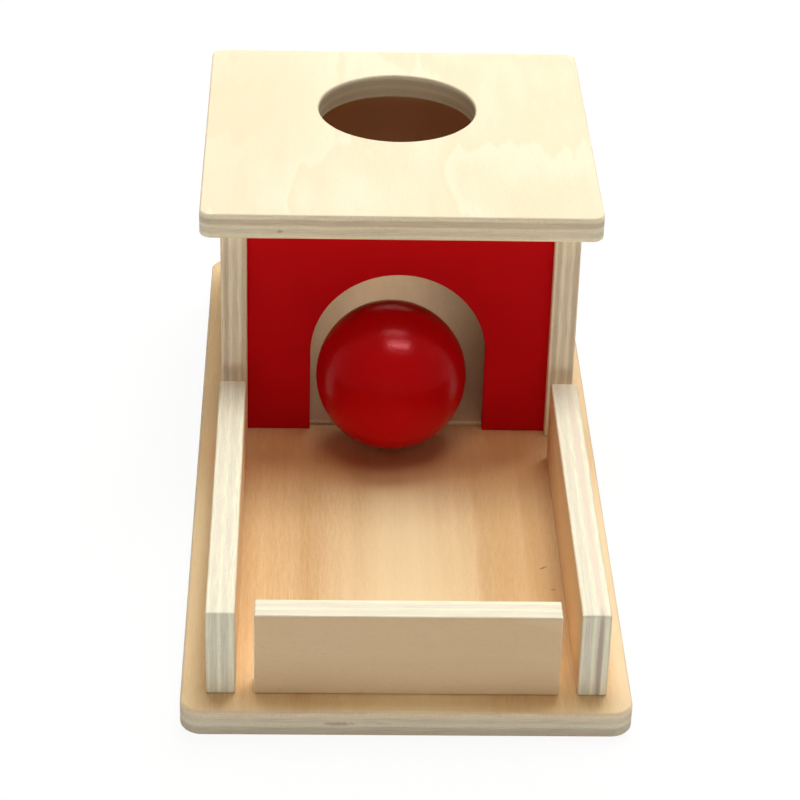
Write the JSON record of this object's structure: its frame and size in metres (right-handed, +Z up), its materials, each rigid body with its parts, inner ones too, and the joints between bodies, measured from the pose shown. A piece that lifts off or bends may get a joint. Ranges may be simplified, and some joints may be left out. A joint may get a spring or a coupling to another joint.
{
  "type": "object permanence box",
  "caption": "Plywood toy box: a ball dropped through the round hole in its lid rolls down a hidden ramp and out under an arch on to a railed tray.",
  "frame": {"origin": "middle of the base board's underside", "axes": "+X to the right seen from the tray's end, +Y from the tray to the box, +Z up"},
  "size_m": [0.15, 0.318, 0.1069],
  "materials": {
    "birch_ply": "clear satin varnish on birch plywood",
    "base_ply": "clear satin varnish on darker straight-grained plywood",
    "red_paint": "satin red paint on thin plywood",
    "red_lacquer": "gloss red lacquer on a turned ball",
    "beech": "plain sanded beech",
    "zinc_steel": "bright zinc plating"
  },
  "bodies": {
    "box": {"base_board": "base_ply", "left_wall": "birch_ply", "right_wall": "birch_ply", "back_wall": "birch_ply", "front_panel": "red_paint", "lid_board": "birch_ply", "ramp_board": "birch_ply", "ramp_cleat": "beech", "left_rail": "birch_ply", "right_rail": "birch_ply", "front_rail": "birch_ply", "lid_dowels": "beech", "back_wall_dowels": "beech", "box_screws": "zinc_steel", "tray_screws": "zinc_steel"},
    "ball": {"ball": "red_lacquer"}
  },
  "joints": [
    {"name": "ball_roll", "type": "slide", "parent": "box", "child": "ball", "axis": [0, -1, 0], "range_m": [-0.0012, 0.124]}
  ]
}
